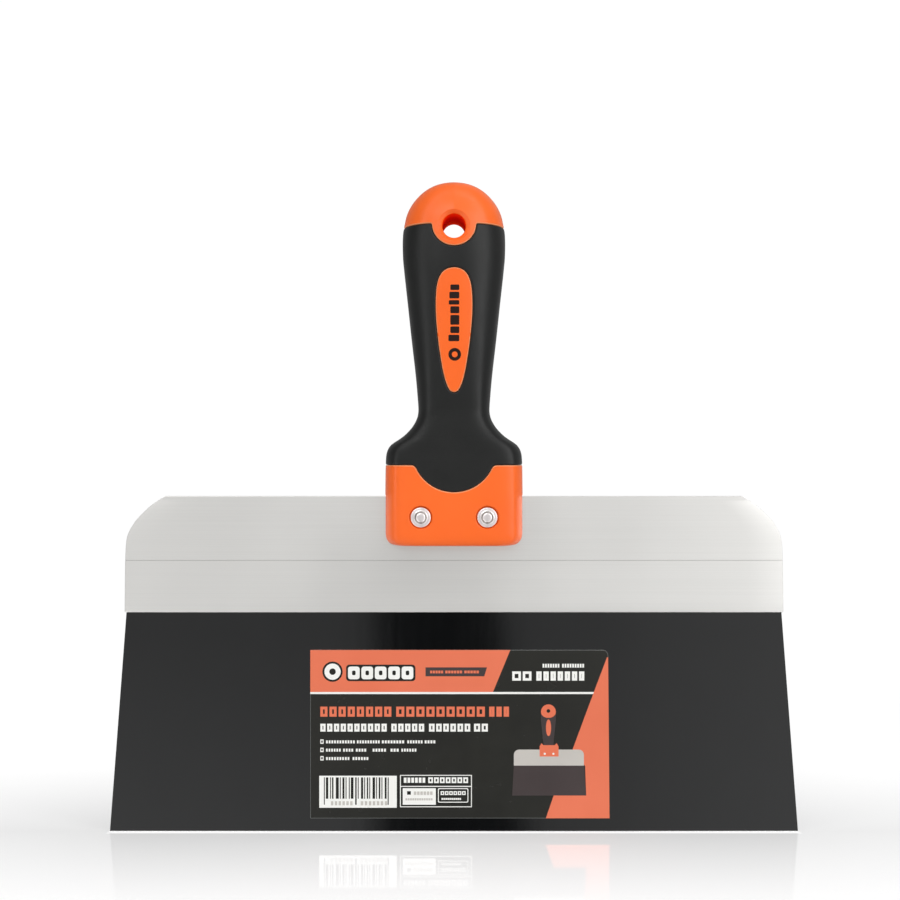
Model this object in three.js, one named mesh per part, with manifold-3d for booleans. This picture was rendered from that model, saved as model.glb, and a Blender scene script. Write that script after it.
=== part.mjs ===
// A 10-inch flexible taping (putty) knife: a black tempered-steel blade clamped in an
// aluminium backing, with a two-shot handle riveted over the backing.
//
// Frame: millimetres, +Z up along the handle, origin at the middle of the working edge,
// blade mid-plane on y = 0, label side facing -Y, edge running along X.

import * as THREE from "three";
import { mergeVertices } from "three/addons/utils/BufferGeometryUtils.js";
import Module from "manifold-3d";

const wasm = await Module();
wasm.setup();

// ---------------------------------------------------------------- driving dimensions
const BLADE_WIDTH = 254.0; // working edge, 10 in
const BLADE_T = 0.5; // spring steel sheet
const BLADE_TAPER = 0.0756; // each side narrows this much per mm of height
const FLEX_PIVOT_Z = 68.75; // where the bending blade behaves as if it were hinged
const PIVOT_GAP = 0.3; // clearance between the flexing panel and the clamped strip
const BLADE_TOP_Z = 98.4; // top of the sheet, inside the backing's slot

const BACK_Z0 = 81.0; // mouth of the backing
const BACK_STEP_Z = 100.1; // groove between the lips and the web
const BACK_Z1 = 123.8; // top of the backing
// Half width of the backing at each height: slightly tapered sides, then a wide rounded corner.
const BACK_SIDE = [
  [81.0, 121.3], [100.0, 121.1], [105.6, 120.85], [107.5, 120.65], [109.3, 120.25],
  [111.2, 119.45], [113.0, 118.4], [114.85, 117.15], [116.3, 115.85], [118.3, 113.85],
  [120.35, 111.6], [122.2, 109.0], [123.8, 106.4],
];
const LIP_HALF = 1.4; // half thickness of the lips that grip the blade
const WEB_HALF = 1.37; // half thickness of the solid web
const WEB_CHAMFER = 0.12; // along the backing's top edge
const SEAM_W = 0.15; // the fine seam between the lips and the web
const SEAM_DEPTH = 0.3;
const SLOT_HALF = 0.3; // half width of the blade slot
const SLOT_TOP_Z = 98.7;

const HANDLE_Z1 = 239.3; // top of the handle
const BASE_SLOT_HALF = 1.5; // slot in the block for the web
const BASE_SLOT_TOP = 124.3;
const GRIP_T = 2.0; // overmould thickness
const GRIP_GAP = 0.3; // core to overmould, under the grip
const PART_LINE = 0.15; // half of the gap along the visible parting line

const HOLE_Z = 221.7; // hang hole
const HOLE_R = 4.5;
const HOLE_RIM_R = 5.8; // the rim's chamfer
const HOLE_RIM_DEPTH = 1.3;
const BOSS_R = 8.1; // orange ring round the hang hole
const BOSS_Z = 222.4; // the ring sits a little higher than the hole
const CAP_Z = 222.5; // parting plane of the end cap

const RIVET_X = 12.1;
const RIVET_Z = 116.3;
const RIVET_R = 2.0;
const RIVET_HOLE_R = 2.15;
const RIVET_HEAD_R = 2.7;
const RIVET_HEAD_H = 1.05;
const WASHER_R = 3.7;
const WASHER_T = 0.6;
const CBORE_R = 4.15;
const CBORE_FLOOR = 8.1; // distance of the counterbore floor from the mid-plane

const LABEL_X0 = -53.0, // the label's left side
  LABEL_X1 = 57.4, // its right side at the foot
  LABEL_X2 = 56.9, // and at the top
  LABEL_Z0 = 4.9,
  LABEL_Z1 = 67.0;
const LABEL_T = 0.15;

// ---------------------------------------------------------------- colours
const paint = (hex, roughness, metalness) =>
  new THREE.MeshStandardMaterial({ color: hex, roughness, metalness });
const ORANGE = paint(0xff6b2c, 0.4, 0.0);
const BLACK_RUBBER = paint(0x2b2c2c, 0.6, 0.0);
const BLACK_STEEL = paint(0x2a2b2c, 0.3, 0.3);
const ALUMINIUM = paint(0xd4d5d3, 0.4, 1.0);
const PLATED = paint(0xd9d6d2, 0.25, 1.0);
const LABEL_INK = paint(0x33312e, 0.35, 0.0);

// ---------------------------------------------------------------- solids
function solid(geometry, matrix) {
  const g = geometry.clone();
  g.deleteAttribute("normal");
  g.deleteAttribute("uv");
  if (matrix) g.applyMatrix4(matrix);
  const m = mergeVertices(g, 1e-4);
  return new wasm.Manifold(
    new wasm.Mesh({
      numProp: 3,
      vertProperties: m.attributes.position.array,
      triVerts: new Uint32Array(m.index.array),
    }),
  );
}
function geometryOf(s) {
  const m = s.getMesh();
  const v = new Float32Array(m.numVert * 3);
  for (let i = 0; i < m.numVert; i++)
    v.set(m.vertProperties.subarray(i * m.numProp, i * m.numProp + 3), i * 3);
  const g = new THREE.BufferGeometry();
  g.setAttribute("position", new THREE.BufferAttribute(v, 3));
  g.setIndex(new THREE.BufferAttribute(new Uint32Array(m.triVerts), 1));
  g.computeVertexNormals();
  return g;
}
const box = (x0, x1, y0, y1, z0, z1) =>
  solid(
    new THREE.BoxGeometry(x1 - x0, y1 - y0, z1 - z0),
    new THREE.Matrix4().makeTranslation((x0 + x1) / 2, (y0 + y1) / 2, (z0 + z1) / 2),
  );
// A prism whose outline is drawn in the XZ plane and which runs from y0 to y1.
function prismXZ(points, y0, y1) {
  const shape = new THREE.Shape(points.map((p) => new THREE.Vector2(p[0], p[1])));
  const g = new THREE.ExtrudeGeometry(shape, { depth: y1 - y0, bevelEnabled: false });
  const m = new THREE.Matrix4().set(1, 0, 0, 0, 0, 0, -1, y1, 0, 1, 0, 0, 0, 0, 0, 1);
  return solid(g, m);
}
// A prism whose outline is drawn in the YZ plane and which runs from x0 to x1.
function prismYZ(points, x0, x1) {
  const shape = new THREE.Shape(points.map((p) => new THREE.Vector2(p[0], p[1])));
  const g = new THREE.ExtrudeGeometry(shape, { depth: x1 - x0, bevelEnabled: false });
  const m = new THREE.Matrix4().set(0, 0, 1, x0, 1, 0, 0, 0, 0, 1, 0, 0, 0, 0, 0, 1);
  return solid(g, m);
}
// A turned solid about the Y axis at (x, z); the profile holds [radius, y] pairs with y falling.
function turnedY(profile, x, z, segments = 24) {
  const g = new THREE.LatheGeometry(
    profile.map((p) => new THREE.Vector2(p[0], p[1])),
    segments,
  );
  return solid(g, new THREE.Matrix4().makeTranslation(x, 0, z));
}
const cylinderY = (r, x, z, y0, y1, segments = 24) =>
  turnedY([[0, y0], [r, y0], [r, y1], [0, y1]], x, z, segments);

// ---------------------------------------------------------------- the handle's outer form
// Each row: z, half width, half depth, x where the flat front ends (share of the half width),
// y where the flat side ends (share of the half depth), and how crisp the corners are.
const ROWS = [
  [105.8, 21.3, 6.9, 0.84, 0.56, 12],
  [105.95, 22.4, 7.4, 0.84, 0.56, 12],
  [106.3, 23.35, 7.95, 0.84, 0.56, 12],
  [107.1, 24.35, 8.5, 0.84, 0.56, 12],
  [108.3, 25.08, 8.85, 0.84, 0.56, 12],
  [110.0, 25.35, 9.0, 0.84, 0.56, 12],
  [124.0, 25.35, 9.05, 0.84, 0.56, 12],
  [135.0, 25.22, 9.15, 0.84, 0.56, 12],
  [139.3, 24.92, 9.2, 0.83, 0.56, 11.5],
  [140.8, 24.45, 9.22, 0.82, 0.56, 11.5],
  [142.0, 23.8, 9.25, 0.81, 0.56, 11],
  [143.0, 22.82, 9.27, 0.8, 0.56, 11],
  [144.0, 21.37, 9.3, 0.79, 0.56, 11],
  [145.0, 19.76, 9.3, 0.78, 0.56, 10.5],
  [147.6, 16.77, 9.34, 0.75, 0.56, 10],
  [149.0, 15.57, 9.36, 0.735, 0.56, 10],
  [152.0, 13.82, 9.4, 0.71, 0.55, 10],
  [155.4, 13.12, 9.55, 0.695, 0.55, 10],
  [157.4, 13.2, 9.85, 0.69, 0.55, 10],
  [160.0, 13.4, 10.2, 0.68, 0.54, 10],
  [171.0, 14.42, 11.25, 0.63, 0.52, 9.5],
  [178.0, 15.24, 11.9, 0.6, 0.51, 9],
  [186.0, 16.13, 12.6, 0.57, 0.5, 9],
  [194.0, 16.98, 13.2, 0.55, 0.5, 9],
  [201.0, 17.76, 13.6, 0.53, 0.49, 8.5],
  [207.0, 18.4, 13.85, 0.52, 0.48, 8],
  [212.0, 18.84, 13.95, 0.51, 0.47, 7],
  [216.5, 18.94, 13.98, 0.5, 0.46, 6.2],
  [223.0, 18.45, 13.88, 0.5, 0.45, 5.2],
];
const DOME_Z = 223.0; // above this the rows close in a rounded end
const DOME_STEPS = 9;
// Half width of a circle-like end, before it closes, against the share of the dome's height.
const DOME_FULL = [
  [0, 18.45], [0.066, 18.2], [0.2, 18.1], [0.34, 18.02], [0.47, 17.97], [0.61, 17.98],
  [0.7, 18.1], [0.79, 18.45], [0.86, 18.9], [0.905, 19.4], [0.95, 20.2], [1, 21.6],
];
function domeRows() {
  const last = ROWS[ROWS.length - 1];
  const rows = [];
  for (let i = 1; i < DOME_STEPS; i++) {
    const a = ((i / DOME_STEPS) * Math.PI) / 2;
    const t = Math.sin(a);
    const z = DOME_Z + (HANDLE_Z1 - DOME_Z) * t;
    const k = DOME_FULL.findIndex((q) => q[0] >= t);
    const [t0, f0] = DOME_FULL[k - 1],
      [t1, f1] = DOME_FULL[k];
    const full = f0 + ((f1 - f0) * (t - t0)) / (t1 - t0);
    const w = full * Math.sqrt(1 - t * t);
    const d = last[2] * Math.pow(1 - Math.pow(t, 2.3), 1 / 2.3);
    rows.push([z, w, d, 0.5, 0.45, 5.2 - 1.7 * t]);
  }
  return rows;
}
// A point of the section: angle u from +X, in shares of the half width and half depth.
function section(u, x1, y1, p) {
  const beta = (1 - x1) / (1 - x1 * y1);
  const alpha = 1 - beta * y1;
  const c = Math.abs(Math.cos(u)),
    s = Math.abs(Math.sin(u));
  const f = Math.pow(Math.pow(c, p) + Math.pow(s, p) + Math.pow(alpha * c + beta * s, p), 1 / p);
  return [
    (Math.cos(u) / f) * Math.pow(1 + Math.pow(alpha, p), 1 / p),
    (Math.sin(u) / f) * Math.pow(1 + Math.pow(beta, p), 1 / p),
  ];
}
// A closed loft over the rows, each row drawn in by `inset`; a cylinder's rings are moved onto the sections.
function loft(rows, topZ, inset, around = 36) {
  const n = rows.length;
  const g = new THREE.CylinderGeometry(1, 1, n - 1, around, n - 1, false);
  g.deleteAttribute("normal");
  g.deleteAttribute("uv");
  const m = mergeVertices(g, 1e-5);
  const p = m.attributes.position;
  for (let i = 0; i < p.count; i++) {
    const k = Math.round(p.getY(i) + (n - 1) / 2);
    const r = Math.hypot(p.getX(i), p.getZ(i));
    const row = rows[k];
    if (r < 0.5) {
      p.setXYZ(i, 0, 0, k === n - 1 ? topZ : row[0]);
      continue;
    }
    const u = Math.atan2(-p.getZ(i), p.getX(i));
    const [sx, sy] = section(u, row[3], row[4], row[5]);
    p.setXYZ(i, sx * (row[1] - inset), sy * (row[2] - inset), row[0]);
  }
  return solid(m);
}
const outer = loft([...ROWS, ...domeRows()], HANDLE_Z1, 0);

// Under the overmould the core is set back; this inner form runs past both ends of the grip.
const gripRows = ROWS.filter((r) => r[0] >= 116 && r[0] <= 223);
const underCore = loft(
  gripRows.map((r) => [...r]),
  223,
  GRIP_T + GRIP_GAP,
);
const underGrip = loft(
  gripRows.map((r) => [...r]),
  223,
  GRIP_T,
);

// Outlines of the orange areas, drawn in XZ; `grow` widens them for the gap.
function arc(cx, cz, r, a0, a1, n) {
  const out = [];
  for (let i = 0; i <= n; i++) {
    const a = a0 + ((a1 - a0) * i) / n;
    out.push([cx + r * Math.cos(a), cz + r * Math.sin(a)]);
  }
  return out;
}
function capOutline(grow) {
  const z = CAP_Z - grow,
    r = BOSS_R + grow;
  const dz = z - BOSS_Z,
    a = Math.asin(dz / r);
  return [
    [-40, z],
    ...arc(0, BOSS_Z, r, Math.PI - a, 2 * Math.PI + a, 22),
    [40, z],
    [40, 260],
    [-40, 260],
  ];
}
const SCALLOP_Z = 140.7, // centre of the grip's rounded lower tongue
  SCALLOP_R = 15.2,
  BASE_LINE_Z = 135.3; // where the block's orange begins at the sides
function baseOutline(grow) {
  const z = BASE_LINE_Z + grow,
    r = SCALLOP_R - grow;
  const a = Math.asin((z - SCALLOP_Z) / r); // negative
  return [
    [-40, 90],
    [40, 90],
    [40, z],
    ...arc(0, SCALLOP_Z, r, 2 * Math.PI + a, Math.PI - a, 22),
    [-40, z],
  ];
}
const OVAL = [
  [206.6, 0], [206.3, 1.9], [205.4, 3.75], [203.9, 5.05], [201.5, 6.05], [198.5, 6.6],
  [193.4, 6.84], [188.0, 6.65], [183.0, 6.2], [178.0, 5.6], [173.5, 4.9], [169.4, 4.15],
  [166.2, 3.35], [163.9, 2.5], [162.35, 1.6], [161.75, 0.7], [161.6, 0],
];
function ovalOutline(grow) {
  const right = OVAL.slice(1, -1).map(([z, w]) => [w, z]);
  const all = [
    [0, 206.6],
    ...right,
    [0, 161.6],
    ...right.reverse().map(([w, z]) => [-w, z]),
  ];
  const n = all.length;
  return all
    .map((p, i) => {
      const q = all[(i + n - 1) % n],
        s = all[(i + 1) % n];
      const tx = s[0] - q[0],
        tz = s[1] - q[1],
        l = Math.hypot(tx, tz);
      return [p[0] - (tz / l) * grow, p[1] + (tx / l) * grow];
    })
    .reverse();
}
const cap = (g) => prismXZ(capOutline(g), -30, 30);
const base = (g) => prismXZ(baseOutline(g), -30, 30);
const oval = (g) => prismXZ(ovalOutline(g), -30, 30);

const hangHole = cylinderY(HOLE_R, 0, HOLE_Z, -30, 30, 28);
// Chamfers the rim of the hang hole on both faces.
const rimY = 13.9;
const rim = turnedY(
  [
    [0, -30],
    [HOLE_RIM_R + 4, -30],
    [HOLE_RIM_R, -rimY],
    [HOLE_R - 0.05, -rimY + HOLE_RIM_DEPTH],
    [0, -rimY + HOLE_RIM_DEPTH],
  ],
  0,
  HOLE_Z,
  28,
);
const rimBack = rim.mirror([0, 1, 0]);

let core = underCore
  .add(outer.intersect(cap(-PART_LINE)))
  .add(outer.intersect(oval(-PART_LINE)))
  .add(outer.intersect(base(-PART_LINE)));
core = core
  .subtract(hangHole)
  .subtract(rim)
  .subtract(rimBack)
  .subtract(box(-40, 40, -BASE_SLOT_HALF, BASE_SLOT_HALF, 90, BASE_SLOT_TOP));
for (const s of [-1, 1]) {
  core = core
    .subtract(cylinderY(RIVET_HOLE_R, s * RIVET_X, RIVET_Z, -30, 30))
    .subtract(cylinderY(CBORE_R, s * RIVET_X, RIVET_Z, -30, -CBORE_FLOOR, 28))
    .subtract(cylinderY(CBORE_R, s * RIVET_X, RIVET_Z, CBORE_FLOOR, 30, 28));
}

const grip = outer
  .subtract(underGrip)
  .subtract(cap(PART_LINE))
  .subtract(oval(PART_LINE))
  .subtract(base(PART_LINE));

// ---------------------------------------------------------------- backing
const backingOutline = () => [
  ...BACK_SIDE,
  ...BACK_SIDE.map(([z, x]) => [z, -x]).reverse(),
].map(([z, x]) => [x, z]);
function backingProfile() {
  const half = [
    [LIP_HALF - 0.35, BACK_Z0],
    [LIP_HALF, BACK_Z0 + 0.35],
    [LIP_HALF, BACK_STEP_Z],
    [WEB_HALF - SEAM_DEPTH, BACK_STEP_Z],
    [WEB_HALF - SEAM_DEPTH, BACK_STEP_Z + SEAM_W],
    [WEB_HALF, BACK_STEP_Z + SEAM_W],
    [WEB_HALF, BACK_Z1 - WEB_CHAMFER],
    [WEB_HALF - WEB_CHAMFER, BACK_Z1],
  ];
  return [...half, ...half.map(([y, z]) => [-y, z]).reverse()];
}
let backing = prismXZ(backingOutline(), -3, 3)
  .intersect(prismYZ(backingProfile(), -140, 140))
  .subtract(box(-140, 140, -SLOT_HALF, SLOT_HALF, 70, SLOT_TOP_Z));
for (const s of [-1, 1])
  backing = backing.subtract(cylinderY(RIVET_HOLE_R, s * RIVET_X, RIVET_Z, -10, 10));

// ---------------------------------------------------------------- blade
const halfAt = (z) => BLADE_WIDTH / 2 - BLADE_TAPER * z;
const strip = (z0, z1) =>
  prismXZ(
    [
      [-halfAt(z0), z0],
      [halfAt(z0), z0],
      [halfAt(z1), z1],
      [-halfAt(z1), z1],
    ],
    -BLADE_T / 2,
    BLADE_T / 2,
  );
const flexPanel = strip(0, FLEX_PIVOT_Z - PIVOT_GAP / 2);
const clampedStrip = strip(FLEX_PIVOT_Z + PIVOT_GAP / 2, BLADE_TOP_Z);

// ---------------------------------------------------------------- label
const label = prismXZ(
  [
    [LABEL_X0, LABEL_Z0],
    [LABEL_X1, LABEL_Z0],
    ...arc(LABEL_X2 - 2, LABEL_Z1 - 2, 2, 0, Math.PI / 2, 4),
    [LABEL_X0, LABEL_Z1],
  ],
  -BLADE_T / 2 - LABEL_T,
  -BLADE_T / 2,
);

// ---------------------------------------------------------------- rivets and washers
function rivet(x) {
  const seat = CBORE_FLOOR + WASHER_T;
  const head = [];
  for (let i = 0; i <= 4; i++) {
    const a = ((i / 4) * Math.PI) / 2;
    head.push([RIVET_HEAD_R * Math.sin(a), RIVET_HEAD_H * Math.cos(a)]);
  }
  // front head, shank, rear head: the front is at negative y
  const profile = [
    ...head.map(([r, h]) => [r, -(seat + 0.15 + (RIVET_HEAD_H - 0.15) * (h / RIVET_HEAD_H))]),
    [RIVET_HEAD_R, -seat],
    [RIVET_R, -seat],
    [RIVET_R, seat],
    [RIVET_HEAD_R, seat],
    ...head.reverse().map(([r, h]) => [r, seat + 0.15 + (RIVET_HEAD_H - 0.15) * (h / RIVET_HEAD_H)]),
  ];
  return turnedY(profile, x, RIVET_Z);
}
function washer(x, side) {
  const y0 = side < 0 ? -(CBORE_FLOOR + WASHER_T) : CBORE_FLOOR;
  const y1 = y0 + WASHER_T;
  return turnedY(
    [
      [RIVET_HOLE_R, y0],
      [WASHER_R, y0],
      [WASHER_R, y1],
      [RIVET_HOLE_R, y1],
      [RIVET_HOLE_R, y0],
    ],
    x,
    RIVET_Z,
  );
}

// ---------------------------------------------------------------- assembly
const knife = new THREE.Group();
const handleGroup = new THREE.Group();
const bladeGroup = new THREE.Group();
knife.add(handleGroup, bladeGroup);
function put(group, name, s, material) {
  const mesh = new THREE.Mesh(geometryOf(s), material);
  mesh.name = name;
  group.add(mesh);
}
put(handleGroup, "handle_core", core, ORANGE);
put(handleGroup, "grip_overmould", grip, BLACK_RUBBER);
put(handleGroup, "backing", backing, ALUMINIUM);
put(handleGroup, "blade_clamped_strip", clampedStrip, BLACK_STEEL);
put(handleGroup, "rivet_left", rivet(-RIVET_X), PLATED);
put(handleGroup, "rivet_right", rivet(RIVET_X), PLATED);
put(handleGroup, "washer_front_left", washer(-RIVET_X, -1), PLATED);
put(handleGroup, "washer_front_right", washer(RIVET_X, -1), PLATED);
put(handleGroup, "washer_rear_left", washer(-RIVET_X, 1), PLATED);
put(handleGroup, "washer_rear_right", washer(RIVET_X, 1), PLATED);
put(bladeGroup, "blade_flex_panel", flexPanel, BLACK_STEEL);
put(bladeGroup, "blade_label", label, LABEL_INK);

export default knife;
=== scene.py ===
import math
import bpy
import bmesh
import numpy as np
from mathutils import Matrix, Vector
from mathutils.geometry import delaunay_2d_cdt


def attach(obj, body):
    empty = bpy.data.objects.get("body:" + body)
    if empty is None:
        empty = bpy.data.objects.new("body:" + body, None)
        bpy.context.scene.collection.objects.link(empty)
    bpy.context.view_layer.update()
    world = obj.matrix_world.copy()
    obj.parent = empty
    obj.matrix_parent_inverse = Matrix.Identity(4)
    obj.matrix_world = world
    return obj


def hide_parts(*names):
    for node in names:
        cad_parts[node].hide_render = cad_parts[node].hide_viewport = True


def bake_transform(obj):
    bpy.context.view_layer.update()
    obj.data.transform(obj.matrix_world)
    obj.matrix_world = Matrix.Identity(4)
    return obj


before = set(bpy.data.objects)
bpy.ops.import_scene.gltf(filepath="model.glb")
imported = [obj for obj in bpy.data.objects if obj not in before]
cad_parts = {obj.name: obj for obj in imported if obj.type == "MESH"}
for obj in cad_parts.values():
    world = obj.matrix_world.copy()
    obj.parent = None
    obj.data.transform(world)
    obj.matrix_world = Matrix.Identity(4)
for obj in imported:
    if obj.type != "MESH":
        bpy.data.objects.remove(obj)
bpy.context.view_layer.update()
MM = 0.001
PI = math.pi


# =============================================================== small tools
def lin(r, g, b):
    """sRGB 0-255 to linear, with alpha."""
    out = []
    for c in (r, g, b):
        c /= 255.0
        out.append(c / 12.92 if c <= 0.04045 else ((c + 0.055) / 1.055) ** 2.4)
    return (*out, 1.0)


class Pchip:
    """A monotone cubic through the given points, which doesn't overshoot."""

    def __init__(self, x, y):
        x, y = np.array(x, float), np.array(y, float)
        h = np.diff(x)
        d = np.diff(y) / h
        m = np.zeros_like(y)
        for i in range(1, len(x) - 1):
            if d[i - 1] * d[i] > 0:
                w1, w2 = 2 * h[i] + h[i - 1], h[i] + 2 * h[i - 1]
                m[i] = (w1 + w2) / (w1 / d[i - 1] + w2 / d[i])
        m[0], m[-1] = d[0], d[-1]
        self.x, self.y, self.m, self.h = x, y, m, h

    def __call__(self, q):
        q = np.clip(np.asarray(q, float), self.x[0], self.x[-1])
        i = np.clip(np.searchsorted(self.x, q) - 1, 0, len(self.x) - 2)
        h = self.h[i]
        t = (q - self.x[i]) / h
        t2, t3 = t * t, t * t * t
        return (
            (2 * t3 - 3 * t2 + 1) * self.y[i]
            + (t3 - 2 * t2 + t) * h * self.m[i]
            + (-2 * t3 + 3 * t2) * self.y[i + 1]
            + (t3 - t2) * h * self.m[i + 1]
        )


def mesh_object(name, verts_mm, faces, mats, face_mats=None, smooth=True):
    me = bpy.data.meshes.new(name)
    me.from_pydata([tuple(c * MM for c in v) for v in verts_mm], [], [tuple(f) for f in faces])
    for m in mats:
        me.materials.append(m)
    if face_mats is not None:
        me.polygons.foreach_set("material_index", np.array(face_mats, np.int32))
    me.polygons.foreach_set("use_smooth", np.full(len(me.polygons), smooth))
    me.validate()
    me.update()
    ob = bpy.data.objects.new(name, me)
    bpy.context.scene.collection.objects.link(ob)
    return ob


def tidy(ob, angle=None, merge=1e-7):
    """Welds, makes the faces point out, and marks the edges sharper than the angle (degrees)."""
    bm = bmesh.new()
    bm.from_mesh(ob.data)
    bmesh.ops.remove_doubles(bm, verts=bm.verts, dist=merge)
    bmesh.ops.dissolve_degenerate(bm, edges=bm.edges, dist=merge)
    loose = [v for v in bm.verts if not v.link_faces]
    if loose:
        bmesh.ops.delete(bm, geom=loose, context="VERTS")
    bmesh.ops.recalc_face_normals(bm, faces=bm.faces)
    bm.to_mesh(ob.data)
    bm.free()
    if angle is not None:
        ob.data.set_sharp_from_angle(angle=math.radians(angle))
    ob.data.update()
    return ob


def seg_distance(points, polyline):
    """Distance from each point (N, k) to an open polyline (M, k)."""
    a, b = polyline[:-1], polyline[1:]
    d = b - a
    ll = np.maximum((d * d).sum(1), 1e-12)
    best = np.full(len(points), 1e9)
    for s in range(0, len(points), 1500):
        p = points[s : s + 1500]
        t = np.clip(((p[:, None, :] - a[None]) * d[None]).sum(2) / ll[None], 0, 1)
        q = a[None] + t[:, :, None] * d[None]
        best[s : s + 1500] = np.sqrt(((p[:, None, :] - q) ** 2).sum(2)).min(1)
    return best


def in_polygon(pts, poly):
    x, y = pts[:, 0], pts[:, 1]
    inside = np.zeros(len(pts), bool)
    n = len(poly)
    for i in range(n):
        x0, y0 = poly[i]
        x1, y1 = poly[(i + 1) % n]
        if y0 == y1:
            continue
        hit = ((y0 > y) != (y1 > y)) & (x < (x1 - x0) * (y - y0) / (y1 - y0) + x0)
        inside ^= hit
    return inside


def circle(cx, cz, r, n):
    return [(cx + r * math.cos(2 * PI * i / n), cz + r * math.sin(2 * PI * i / n)) for i in range(n)]


def rounded_rect(x0, x1, z0, z1, r, n=5):
    out = []
    for cx, cz, a0 in ((x1 - r, z1 - r, 0), (x0 + r, z1 - r, PI / 2), (x0 + r, z0 + r, PI), (x1 - r, z0 + r, 1.5 * PI)):
        for i in range(n + 1):
            a = a0 + PI / 2 * i / n
            out.append((cx + r * math.cos(a), cz + r * math.sin(a)))
    return out


# =============================================================== materials
def material(name, color, rough, metal=0.0, spec=None):
    m = bpy.data.materials.new(name)
    m.use_nodes = True
    nt = m.node_tree
    b = nt.nodes["Principled BSDF"]
    b.inputs["Base Color"].default_value = color
    b.inputs["Roughness"].default_value = rough
    b.inputs["Metallic"].default_value = metal
    if spec is not None:
        b.inputs["Specular IOR Level"].default_value = spec
    return m, nt, b


def coords(nt, scale=(1, 1, 1)):
    tc = nt.nodes.new("ShaderNodeTexCoord")
    mp = nt.nodes.new("ShaderNodeMapping")
    mp.inputs["Scale"].default_value = scale
    nt.links.new(tc.outputs["Object"], mp.inputs["Vector"])
    return mp.outputs["Vector"]


def noise(nt, vector, scale, detail=3.0, rough=0.5):
    n = nt.nodes.new("ShaderNodeTexNoise")
    n.inputs["Scale"].default_value = scale
    n.inputs["Detail"].default_value = detail
    n.inputs["Roughness"].default_value = rough
    nt.links.new(vector, n.inputs["Vector"])
    return n.outputs["Fac"]


def spread(nt, fac, low, high, from_low=0.3, from_high=0.7):
    r = nt.nodes.new("ShaderNodeMapRange")
    r.inputs["From Min"].default_value = from_low
    r.inputs["From Max"].default_value = from_high
    r.inputs["To Min"].default_value = low
    r.inputs["To Max"].default_value = high
    nt.links.new(fac, r.inputs["Value"])
    return r.outputs["Result"]


def two_colours(nt, fac, a, b):
    r = nt.nodes.new("ShaderNodeValToRGB")
    r.color_ramp.elements[0].position = 0.3
    r.color_ramp.elements[0].color = a
    r.color_ramp.elements[1].position = 0.7
    r.color_ramp.elements[1].color = b
    nt.links.new(fac, r.inputs["Fac"])
    return r.outputs["Color"]


def bump(nt, bsdf, height, distance, strength=1.0):
    n = nt.nodes.new("ShaderNodeBump")
    n.inputs["Distance"].default_value = distance
    n.inputs["Strength"].default_value = strength
    nt.links.new(height, n.inputs["Height"])
    nt.links.new(n.outputs["Normal"], bsdf.inputs["Normal"])


def plastic(name, c0, c1, r0, r1, grain, depth, spec=0.5):
    m, nt, b = material(name, c0, r0, 0.0, spec)
    v = coords(nt)
    nt.links.new(two_colours(nt, noise(nt, v, 38.0, 3), c0, c1), b.inputs["Base Color"])
    nt.links.new(spread(nt, noise(nt, v, 160.0, 4), r0, r1), b.inputs["Roughness"])
    bump(nt, b, noise(nt, v, grain, 2, 0.6), depth, 0.6)
    return m


ORANGE = plastic("orange_plastic", lin(246, 101, 24), lin(250, 107, 30), 0.3, 0.37, 900.0, 0.00003, 0.42)
# a paler orange for the faces along the parting edges: a painted highlight on the rounded edges
EDGE_HIGHLIGHT = plastic("orange_edge_painted_highlight", lin(232, 142, 94), lin(237, 147, 99), 0.4, 0.5, 900.0, 0.00003, 0.36)
# a deeper red for the hang hole wall: painted shade inside the hole
BORE_SHADE = plastic("orange_bore_painted_shade", lin(244, 52, 10), lin(250, 60, 14), 0.76, 0.86, 900.0, 0.00003, 0.0)
RUBBER = plastic("black_rubber", lin(13, 14, 14), lin(18, 19, 18), 0.38, 0.46, 2600.0, 0.00005, 0.32)
INK = plastic("pad_print", lin(28, 12, 8), lin(34, 16, 11), 0.42, 0.5, 1500.0, 0.00001, 0.2)


def aluminium():
    m, nt, b = material("satin_aluminium", lin(214, 215, 214), 0.34, 1.0)
    lines = coords(nt, (9.0, 2600.0, 2600.0))
    long_lines = noise(nt, lines, 1.0, 5, 0.65)
    cloud = noise(nt, coords(nt), 14.0, 3)
    nt.links.new(two_colours(nt, long_lines, lin(236, 235, 232), lin(240, 239, 236)), b.inputs["Base Color"])
    nt.links.new(spread(nt, cloud, 0.30, 0.40), b.inputs["Roughness"])
    bump(nt, b, long_lines, 0.000003, 0.3)
    return m


def coated_steel():
    m, nt, b = material("black_steel", lin(9, 10, 11), 0.12)
    v = coords(nt)
    nt.links.new(two_colours(nt, noise(nt, v, 60.0, 4), lin(8, 9, 10), lin(11, 12, 13)), b.inputs["Base Color"])
    nt.links.new(spread(nt, noise(nt, coords(nt, (60.0, 60.0, 6.0)), 6.0, 4), 0.06, 0.09), b.inputs["Roughness"])
    bump(nt, b, noise(nt, v, 700.0, 2, 0.6), 0.000004, 0.5)
    return m


def ground_steel():
    m, nt, b = material("ground_edge", lin(232, 233, 232), 0.26, 1.0)
    lines = noise(nt, coords(nt, (1600.0, 60.0, 60.0)), 1.0, 4, 0.7)
    nt.links.new(two_colours(nt, lines, lin(222, 223, 222), lin(244, 244, 242)), b.inputs["Base Color"])
    nt.links.new(spread(nt, lines, 0.2, 0.34), b.inputs["Roughness"])
    return m


def plated(name, c0, c1):
    m, nt, b = material(name, c0, 0.32, 0.85)
    v = coords(nt)
    nt.links.new(two_colours(nt, noise(nt, v, 500.0, 3), c0, c1), b.inputs["Base Color"])
    nt.links.new(spread(nt, noise(nt, v, 900.0, 4), 0.28, 0.36), b.inputs["Roughness"])
    bump(nt, b, noise(nt, v, 1400.0, 2), 0.00001, 0.5)
    return m


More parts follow.
